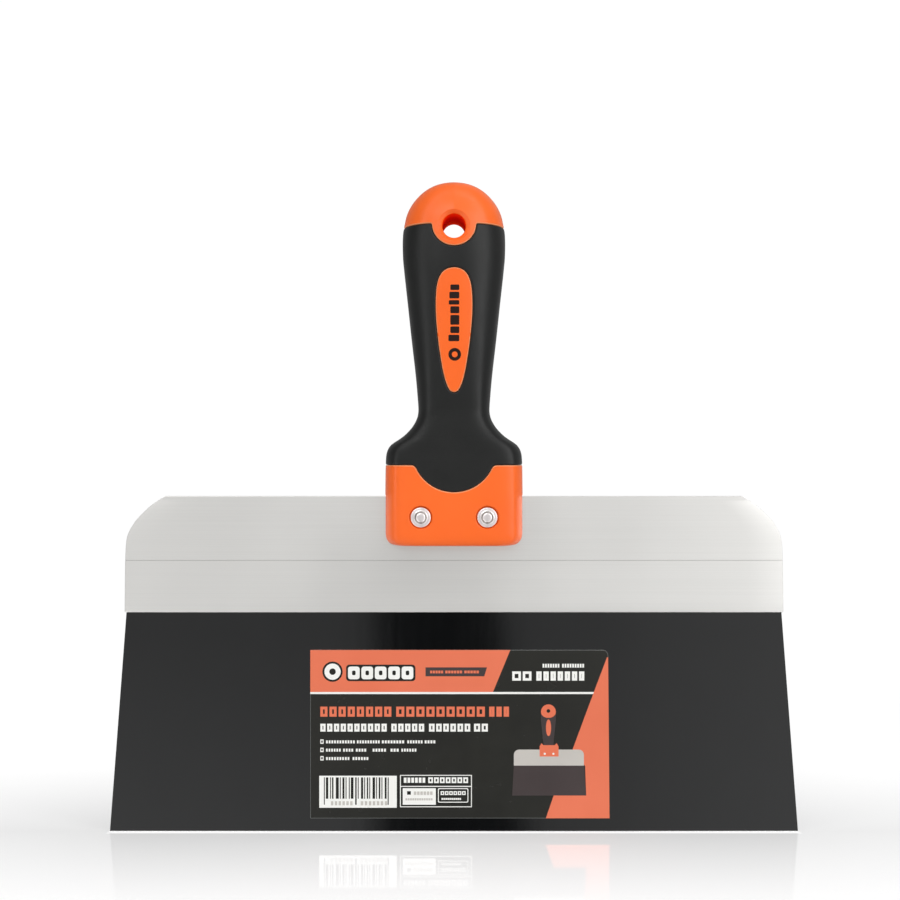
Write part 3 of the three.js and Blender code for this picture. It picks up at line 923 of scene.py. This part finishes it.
def build_backing():
    zs = sorted(set([p[0] for p in prof] + [105.0, 106.8, 107.4, 108.7, 109.4, 110.6, 111.3, 112.6, 113.3, 114.7, 115.4, 116.7, 117.4, 118.7, 119.4, 120.7, 121.4, 122.5, 123.0]))
    zz, yy = [p[0] for p in prof], [p[1] for p in prof]
    cols = [-1, -0.9975, -0.99, -0.9, -0.75, -0.6, -0.45, -0.3, -0.15, 0, 0.15, 0.3, 0.45, 0.6, 0.75, 0.9, 0.99, 0.9975, 1]
    verts, faces, fm, idx = [], [], [], {}
    for s in (-1, 1):
        for r, z in enumerate(zs):
            y = float(np.interp(z, zz, yy))
            X = float(back_half(z))
            for c, k in enumerate(cols):
                x = k * X
                ye = y
                if abs(k) == 1:
                    ye = max(y - 0.16, 0.05)
                elif abs(k) == 0.9975:
                    x = math.copysign(X - 0.12, k)
                    ye = max(y - 0.02, 0.06)
                elif abs(k) == 0.99:
                    x = math.copysign(X - 0.35, k)
                idx[(s, r, c)] = len(verts)
                verts.append((x, s * ye, z))
        for r in range(len(zs) - 1):
            for c in range(len(cols) - 1):
                q = (idx[(s, r, c)], idx[(s, r, c + 1)], idx[(s, r + 1, c + 1)], idx[(s, r + 1, c)])
                faces.append(q if s < 0 else tuple(reversed(q)))
                fm.append(1 if 100.095 < zs[r] < 100.15 else 0)
    last = len(zs) - 1
    for c in range(len(cols) - 1):
        faces.append((idx[(-1, last, c)], idx[(-1, last, c + 1)], idx[(1, last, c + 1)], idx[(1, last, c)]))
        faces.append((idx[(-1, 0, c)], idx[(1, 0, c)], idx[(1, 0, c + 1)], idx[(-1, 0, c + 1)]))
    for r in range(last):
        for c in (0, len(cols) - 1):
            faces.append((idx[(-1, r, c)], idx[(-1, r + 1, c)], idx[(1, r + 1, c)], idx[(1, r, c)]))
    fm += [0] * (len(faces) - len(fm))
    ob = mesh_object("backing_look", verts, faces, [ALU, SEAM], fm)
    return tidy(ob, None, merge=1e-7)


backing = build_backing()
cut_box(backing, -130, 130, -SLOT, SLOT, 70, SLOT_TOP)
tidy(backing, 9, merge=1e-7)
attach(backing, "handle")
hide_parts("backing")

# =============================================================== the blade
BLADE_TOP, GROUND_H = 98.4, 0.2


def blade_half(z):
    return 127.0 - 0.0756 * z


def build_blade():
    zs = [0.0, 0.05, GROUND_H] + [float(z) for z in np.arange(2.4, 98.0, 2.0)] + [BLADE_TOP]
    cols = np.linspace(-1, 1, 33)
    verts, faces, fm, idx = [], [], [], {}
    for s in (-1, 1):
        for r, z in enumerate(zs):
            y = 0.25
            if z == 0.0:
                y = 0.17
            elif z == 0.05:
                y = 0.2
            for c, k in enumerate(cols):
                x = k * blade_half(z)
                ye = y
                if abs(k) == 1:
                    ye = y - 0.05
                idx[(s, r, c)] = len(verts)
                verts.append((x, s * ye, z))
        for r in range(len(zs) - 1):
            for c in range(len(cols) - 1):
                q = (idx[(s, r, c)], idx[(s, r, c + 1)], idx[(s, r + 1, c + 1)], idx[(s, r + 1, c)])
                faces.append(q if s < 0 else tuple(reversed(q)))
                fm.append(1 if zs[r + 1] <= GROUND_H + 1e-6 else 0)
    last = len(zs) - 1
    for c in range(len(cols) - 1):
        faces.append((idx[(-1, last, c)], idx[(-1, last, c + 1)], idx[(1, last, c + 1)], idx[(1, last, c)]))
        fm.append(0)
        faces.append((idx[(-1, 0, c)], idx[(1, 0, c)], idx[(1, 0, c + 1)], idx[(-1, 0, c + 1)]))
        fm.append(1)
    for r in range(last):
        for c in (0, len(cols) - 1):
            faces.append((idx[(-1, r, c)], idx[(-1, r + 1, c)], idx[(1, r + 1, c)], idx[(1, r, c)]))
            fm.append(1 if zs[r + 1] <= GROUND_H + 1e-6 else 0)
    ob = mesh_object("blade_look", verts, faces, [STEEL, GROUND], fm)
    return tidy(ob, 12, merge=1e-8)


blade = build_blade()
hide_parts("blade_clamped_strip", "blade_flex_panel")
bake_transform(blade)


# =============================================================== the label
def rect(x0, x1, z0, z1):
    return [(x0, z0), (x1, z0), (x1, z1), (x0, z1)]


LBL = [CORAL, DARK, WHITE, GREY, BROWN, HAIR]
C_, D_, W_, G_, B_, H_ = range(6)
LX0, LX1, LX2, LZ0, LZ1 = -53.0, 57.4, 56.9, 4.9, 67.0


def label_outline(inset):
    r = 2 - inset
    return [(LX0 + inset, LZ0 + inset), (LX1 - inset, LZ0 + inset)] + [(LX2 - 2 + r * math.cos(a), LZ1 - 2 + r * math.sin(a)) for a in np.linspace(0, PI / 2, 6)] + [(LX0 + inset, LZ1 - inset)]


shapes = [(label_outline(0), H_), (label_outline(0.16), D_)]


def add(poly, slot):
    shapes.append((poly, slot))


def boxes(x0, x1, z0, z1, slot, hole=None, wide=0.86, gap=0.2):
    """A run of plain boxes in place of a word; each is open in the middle when a hole ink is given."""
    h = z1 - z0
    n = max(1, round((x1 - x0 + gap * h) / ((wide + gap) * h)))
    step = (x1 - x0 + gap * h) / n
    for k in range(n):
        a, b = x0 + k * step, x0 + (k + 1) * step - gap * h
        add(rect(a, b, z0, z1), slot)
        if hole is not None:
            t = 0.27 * h
            add(rect(a + t, b - t, z0 + t, z1 - t), hole)


add([(LX0, 51.5), (14.4, 51.5), (20.8, LZ1), (LX0, LZ1)], C_)  # header band
add([(LX0, 50.75), (51.4, 50.75), (51.7, 51.5), (LX0, 51.5)], W_)  # rule
add(circle(-44.8, 59.0, 3.75, 28), D_)
add(circle(-44.8, 59.0, 3.0, 24), W_)
add(circle(-44.8, 59.0, 1.2, 20), D_)
add(rounded_rect(-39.8, -14.2, 55.5, 61.6, 1.2), D_)
for k in range(5):
    add(rounded_rect(-39.1 + 4.95 * k, -34.8 + 4.95 * k, 56.2, 60.9, 0.9, 3), W_)
    add(rounded_rect(-37.6 + 4.95 * k, -36.3 + 4.95 * k, 57.7, 59.4, 0.4, 2), D_)
add([(-10.5, 57.3), (11.2, 57.3), (12.2, 60.6), (-10.5, 60.6)], B_)
boxes(-8.8, -4.0, 58.4, 59.4, C_)
boxes(-3.2, 3.0, 58.4, 59.4, C_)
boxes(3.8, 9.2, 58.4, 59.4, C_)
boxes(32.7, 38.9, 60.5, 61.9, W_, wide=0.5)
boxes(39.9, 48.0, 60.5, 61.9, W_, wide=0.5)
boxes(21.5, 28.6, 55.7, 59.1, W_, D_, wide=0.75)
boxes(30.4, 48.1, 55.7, 59.1, W_, D_, wide=0.62)
add([(57.4, 4.9), (56.9, 64.2), (56.5, 64.4), (51.6, 51.4), (43.8, 30.4), (44.0, 29.6), (48.4, 24.2), (48.8, 13.3), (36.8, 13.3), (33.9, 4.9)], C_)
boxes(-49.3, -23.1, 42.4, 46.1, C_, D_, wide=0.74)
boxes(-21.3, 11.4, 42.4, 46.1, C_, D_, wide=0.78)
boxes(13.0, 20.3, 42.4, 46.1, C_, D_, wide=0.6)
boxes(-49.3, -24.8, 36.9, 39.8, W_, D_, wide=0.68)
boxes(-23.1, -11.0, 36.9, 39.8, W_, D_, wide=0.72)
boxes(-9.2, 6.0, 36.9, 39.8, W_, D_, wide=0.7)
boxes(7.4, 12.5, 36.9, 39.8, W_, D_, wide=0.6)
for z, words in (
    (32.5, ((-47.2, -36.6), (-35.8, -27.4), (-26.6, -18.4), (-17.2, -11.6), (-10.8, -6.9))),
    (29.45, ((-47.2, -41.8), (-40.9, -37.2), (-36.2, -32.4), (-30.0, -25.1), (-23.4, -20.4), (-19.4, -13.9))),
    (26.35, ((-47.2, -38.6), (-37.4, -31.6))),
):
    add(rect(-49.3, -48.1, z - 0.1, z + 1.5), W_)
    add(rect(-49.0, -48.4, z + 0.3, z + 1.1), D_)
    for x0, x1 in words:
        boxes(x0, x1, z + 0.05, z + 1.15, W_, wide=0.6, gap=0.32)
add(rect(-49.7, -21.1, 8.8, 20.6), W_)
bars = [0.35, 0.9, 0.35, 0.55, 1.1, 0.35, 0.75, 0.35, 0.35, 1.0, 0.55, 0.35, 0.8, 0.35, 0.5, 0.35, 0.95, 0.35, 0.6, 0.35, 0.7, 0.4]
x = -48.0
for i, wdt in enumerate(bars):
    if x + wdt > -22.5:
        break
    add(rect(x, x + wdt, 12.1 if i not in (0, 10, 21) else 9.9, 20.0), D_)
    x += wdt + (0.38, 0.62, 0.4, 0.85)[i % 4]
for x0, x1 in ((-45.4, -37.4), (-34.4, -24.6)):
    boxes(x0, x1, 9.7, 11.2, G_, wide=0.62, gap=0.35)
add(rect(-19.9, 6.6, 9.0, 20.9), W_)
add(rect(-19.6, 6.3, 16.85, 20.6), D_)
add(rect(-19.6, 6.3, 9.3, 16.5), D_)
boxes(-18.5, -10.6, 18.0, 19.9, W_, wide=0.55)
boxes(-9.5, 5.2, 17.9, 20.0, W_, D_, wide=0.8)
add(rect(-18.9, -6.7, 9.9, 16.0), W_)
boxes(-17.3, -15.9, 13.6, 14.9, D_)
boxes(-14.8, -7.9, 13.5, 14.8, G_, wide=0.7)
boxes(-17.9, -7.9, 11.5, 12.3, G_, wide=0.9)
add(rounded_rect(-5.9, 5.3, 10.7, 16.0, 0.5, 3), W_)
add(rounded_rect(-5.6, 5.0, 11.0, 15.7, 0.4, 3), D_)
boxes(-4.9, 4.3, 13.5, 14.9, W_, D_, wide=0.95)
boxes(-4.6, 2.6, 11.7, 12.4, W_, wide=0.9)
# a plain drawing of a wide knife
add(rounded_rect(22.1, 47.95, 22.0, 30.25, 1.9, 5), G_)
add([(21.5, 13.3), (48.75, 13.3), (48.05, 24.35), (22.1, 24.35)], B_)
add(circle(34.85, 44.2, 2.75, 24), C_)
add([(33.3, 31.2), (36.7, 31.2), (36.8, 33.4), (37.6, 41.2), (37.5, 43.3), (36.6, 42.4), (35.6, 42.0), (34.1, 42.0), (33.1, 42.4), (32.2, 43.3), (32.1, 41.2), (32.9, 33.4)], B_)
add(circle(34.85, 44.5, 0.7, 12), D_)
add([(34.9 + 0.95 * math.cos(a), 38.3 + 3.1 * math.sin(a)) for a in np.linspace(0, 2 * PI, 20)[:-1]], C_)
add([(31.6, 27.7), (38.6, 27.7), (38.6, 31.4), (37.9, 32.6), (37.2, 31.9), (33.0, 31.9), (32.3, 32.6), (31.6, 31.4)], C_)
for xx in (33.5, 36.7):
    add(circle(xx, 28.7, 0.4, 10), W_)


def build_label():
    pts, edg = [], []
    for poly, _ in shapes:
        s = len(pts)
        pts += [Vector(p) for p in poly]
        edg += [(s + i, s + (i + 1) % len(poly)) for i in range(len(poly))]
    for z in np.arange(6.3, 66.0, 1.9):
        s = len(pts)
        pts += [Vector((LX0, z)), Vector((LX1 + 0.3, z))]
        edg.append((s, s + 1))
    for xx in np.arange(-45.0, 56.0, 8.0):
        s = len(pts)
        pts += [Vector((xx, LZ0)), Vector((xx, LZ1))]
        edg.append((s, s + 1))
    cv, ce, cf, _, _, _ = delaunay_2d_cdt(pts, edg, [], 1, 1e-4)
    V = np.array([tuple(v) for v in cv])
    F = [tuple(f) for f in cf]
    cen = np.array([V[list(f)].mean(0) for f in F])
    # a point that is surely inside each face, for naming its ink
    col = np.full(len(F), -1)
    for poly, slot in shapes:
        col[in_polygon(cen, poly)] = slot
    keep = [k for k in range(len(F)) if col[k] >= 0]
    F = [F[k] for k in keep]
    col = [int(col[k]) for k in keep]
    live = sorted({i for f_ in F for i in f_})
    new = {old: k for k, old in enumerate(live)}
    V = V[live]
    F = [tuple(new[i] for i in f_) for f_ in F]
    y_front, y_back = -0.25 - 0.13, -0.252
    n = len(V)
    verts = [(x, y_front, z) for x, z in V] + [(x, y_back, z) for x, z in V]
    faces, fm = [], []
    used = {}
    for f_, c in zip(F, col):
        faces.append(f_)
        fm.append(c)
        faces.append(tuple(i + n for i in reversed(f_)))
        fm.append(W_)
        for i in range(len(f_)):
            used[(f_[i], f_[(i + 1) % len(f_)])] = True
    for (i, j) in used:
        if (j, i) not in used:
            faces.append((j, i, i + n, j + n))
            fm.append(W_)
    ob = mesh_object("label_look", verts, faces, LBL, fm, smooth=False)
    return tidy(ob, None, merge=1e-7)


label = build_label()
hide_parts("blade_label")
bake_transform(label)


# =============================================================== studio
def calc(nt, op, a, b=None):
    n = nt.nodes.new("ShaderNodeMath")
    n.operation = op
    for k, v in enumerate((a, b)):
        if v is None:
            continue
        if isinstance(v, (int, float)):
            n.inputs[k].default_value = v
        else:
            nt.links.new(v, n.inputs[k])
    return n.outputs[0]


def floor_material():
    """A pale glossy table near the knife that turns into plain white further off."""
    m = bpy.data.materials.new("floor")
    m.use_nodes = True
    nt = m.node_tree
    nt.nodes.clear()
    out = nt.nodes.new("ShaderNodeOutputMaterial")
    dif = nt.nodes.new("ShaderNodeBsdfDiffuse")
    dif.inputs["Color"].default_value = (0.35, 0.35, 0.35, 1)
    glo = nt.nodes.new("ShaderNodeBsdfGlossy")
    glo.inputs["Roughness"].default_value = 0.045
    glo.inputs["Color"].default_value = (1, 1, 1, 1)
    near = nt.nodes.new("ShaderNodeMixShader")
    tc = nt.nodes.new("ShaderNodeTexCoord")
    sep = nt.nodes.new("ShaderNodeSeparateXYZ")
    nt.links.new(tc.outputs["Object"], sep.inputs[0])
    away = calc(nt, "ABSOLUTE", sep.outputs["Y"])
    across = calc(nt, "ABSOLUTE", sep.outputs["X"])
    # along the blade's foot the mirror is switched off, leaving the plain lit floor: a painted light line where the
    # blade meets the table
    painted_contact_line = calc(nt, "MAXIMUM", spread(nt, away, 0.0, 1.0, 0.0016, 0.0034), spread(nt, across, 0.0, 1.0, 0.1262, 0.128))
    fade = calc(nt, "MULTIPLY", spread(nt, away, 0.36, 0.0, 0.0, 0.0973), painted_contact_line)
    nt.links.new(fade, near.inputs[0])
    lift = nt.nodes.new("ShaderNodeEmission")
    lp = nt.nodes.new("ShaderNodeLightPath")
    nt.links.new(spread(nt, lp.outputs["Is Camera Ray"], 0.42, 0.75, 0.0, 1.0), lift.inputs["Strength"])
    both = nt.nodes.new("ShaderNodeAddShader")
    nt.links.new(dif.outputs[0], both.inputs[0])
    nt.links.new(lift.outputs[0], both.inputs[1])
    nt.links.new(both.outputs[0], near.inputs[1])
    nt.links.new(glo.outputs[0], near.inputs[2])
    far = nt.nodes.new("ShaderNodeEmission")
    nt.links.new(spread(nt, lp.outputs["Is Camera Ray"], 0.6, 1.02, 0.0, 1.0), far.inputs["Strength"])
    radius = calc(nt, "SQRT", calc(nt, "ADD", calc(nt, "POWER", sep.outputs["X"], 2.0), calc(nt, "POWER", sep.outputs["Y"], 2.0)))
    last = nt.nodes.new("ShaderNodeMixShader")
    nt.links.new(spread(nt, radius, 0.0, 1.0, 0.135, 0.36), last.inputs[0])
    nt.links.new(near.outputs[0], last.inputs[1])
    nt.links.new(far.outputs[0], last.inputs[2])
    nt.links.new(last.outputs[0], out.inputs["Surface"])
    return m


bpy.ops.mesh.primitive_plane_add(size=60, location=(0, 0, 0))
floor = bpy.context.object
floor.name = "floor"
floor.data.materials.append(floor_material())
floor.visible_glossy = False


def ramp(nt, fac, stops, top):
    """A grey value that follows (position, value) stops; top is the largest value."""
    r = nt.nodes.new("ShaderNodeValToRGB")
    el = r.color_ramp.elements
    for k, (pos, val) in enumerate(stops):
        e = el[k] if k < 2 else el.new(pos)
        e.position = pos
        e.color = (val / top, val / top, val / top, 1)
    nt.links.new(fac, r.inputs["Fac"])
    return calc(nt, "MULTIPLY", r.outputs["Color"], top)


def studio_world():
    """White behind the knife; the light on it comes from a softer grey room with one narrow dark gap in front."""
    w = bpy.data.worlds.new("studio")
    w.use_nodes = True
    nt = w.node_tree
    bg = nt.nodes["Background"]
    bg.inputs["Color"].default_value = (1, 1, 1, 1)
    tc = nt.nodes.new("ShaderNodeTexCoord")
    sep = nt.nodes.new("ShaderNodeSeparateXYZ")
    nt.links.new(tc.outputs["Generated"], sep.inputs[0])
    back = calc(nt, "MULTIPLY", sep.outputs["Y"], -1.0)
    ahead = calc(nt, "MAXIMUM", back, 0.001)
    side = calc(nt, "DIVIDE", sep.outputs["X"], ahead)
    rise = calc(nt, "DIVIDE", sep.outputs["Z"], ahead)
    # left to right across the front
    across = ramp(nt, calc(nt, "ADD", side, 0.5), ((0.0, 1.16), (0.25, 1.16), (0.5, 1.0), (0.54, 1.08), (0.61, 1.14), (0.65, 1.33), (0.71, 1.5), (0.75, 1.6), (1.0, 1.6)), 1.6)
    low = calc(nt, "MULTIPLY", spread(nt, rise, 1.0, 0.0, -0.28, -0.13), spread(nt, side, 0.4, 0.1, -0.05, 0.05))
    across = calc(nt, "MULTIPLY", across, calc(nt, "ADD", low, 1.0))
    # the narrow dark gap
    edge = calc(nt, "SUBTRACT", side, calc(nt, "ADD", calc(nt, "MULTIPLY", rise, -0.127), 0.0227))
    gap = calc(nt, "MAXIMUM", spread(nt, side, 1.0, 0.05, -0.0637, -0.0477), spread(nt, edge, 0.05, 1.0, -0.008, 0.008))
    # round the room: two bright strips, dark walls at the sides
    turn = calc(nt, "DIVIDE", calc(nt, "ABSOLUTE", calc(nt, "ARCTAN2", sep.outputs["X"], back)), PI)
    walls = ramp(nt, turn, tuple((d / 180, v) for d, v in ((0, 1.0), (24, 1.0), (32, 0.6), (48, 0.5), (52, STRIP), (64, STRIP), (68, WALL), (125, WALL), (150, 0.5), (180, 0.5))), 8.0)
    under = spread(nt, sep.outputs["Z"], 1.2, 1.0, -0.8, -0.4)
    room = calc(nt, "MULTIPLY", calc(nt, "MULTIPLY", across, gap), calc(nt, "MULTIPLY", calc(nt, "MULTIPLY", walls, under), ROOM))
    lp = nt.nodes.new("ShaderNodeLightPath")
    mix = nt.nodes.new("ShaderNodeMix")
    mix.data_type = "FLOAT"
    nt.links.new(lp.outputs["Is Camera Ray"], mix.inputs["Factor"])
    nt.links.new(room, mix.inputs["A"])
    mix.inputs["B"].default_value = 1.02
    nt.links.new(mix.outputs["Result"], bg.inputs["Strength"])
    bpy.context.scene.world = w


ROOM, STRIP, WALL = 0.6, 3.4, 0.4
studio_world()


def area_light(name, loc, target, size, power, color=(1, 1, 1)):
    d = bpy.data.lights.new(name, "AREA")
    d.shape = "RECTANGLE"
    d.size, d.size_y = size
    d.energy = power
    d.color = color
    o = bpy.data.objects.new(name, d)
    bpy.context.scene.collection.objects.link(o)
    o.location = loc
    o.rotation_euler = (Vector(target) - Vector(loc)).to_track_quat("-Z", "Y").to_euler()
    o.visible_camera = False
    return o


area_light("top", (0, -0.4, 1.5), (0, 0, 0.1), (1.8, 1.2), 2)
area_light("key", (-0.5, -1.3, 0.95), (0, 0, 0.12), (0.9, 0.7), 5.2)
area_light("fill", (0.9, -1.1, 0.5), (0, 0, 0.12), (0.6, 0.9), 3.8)

cam_data = bpy.data.cameras.new("camera")
cam = bpy.data.objects.new("camera", cam_data)
bpy.context.scene.collection.objects.link(cam)
cam.location = (-0.00146, -0.5, 0.1408)
cam.rotation_euler = (PI / 2, 0, 0)
cam_data.sensor_width = 36.0
cam_data.lens = 54.16
cam_data.clip_start = 0.01
bpy.context.scene.camera = cam
bpy.context.scene.view_settings.view_transform = "Standard"
bpy.context.scene.view_settings.look = "None"
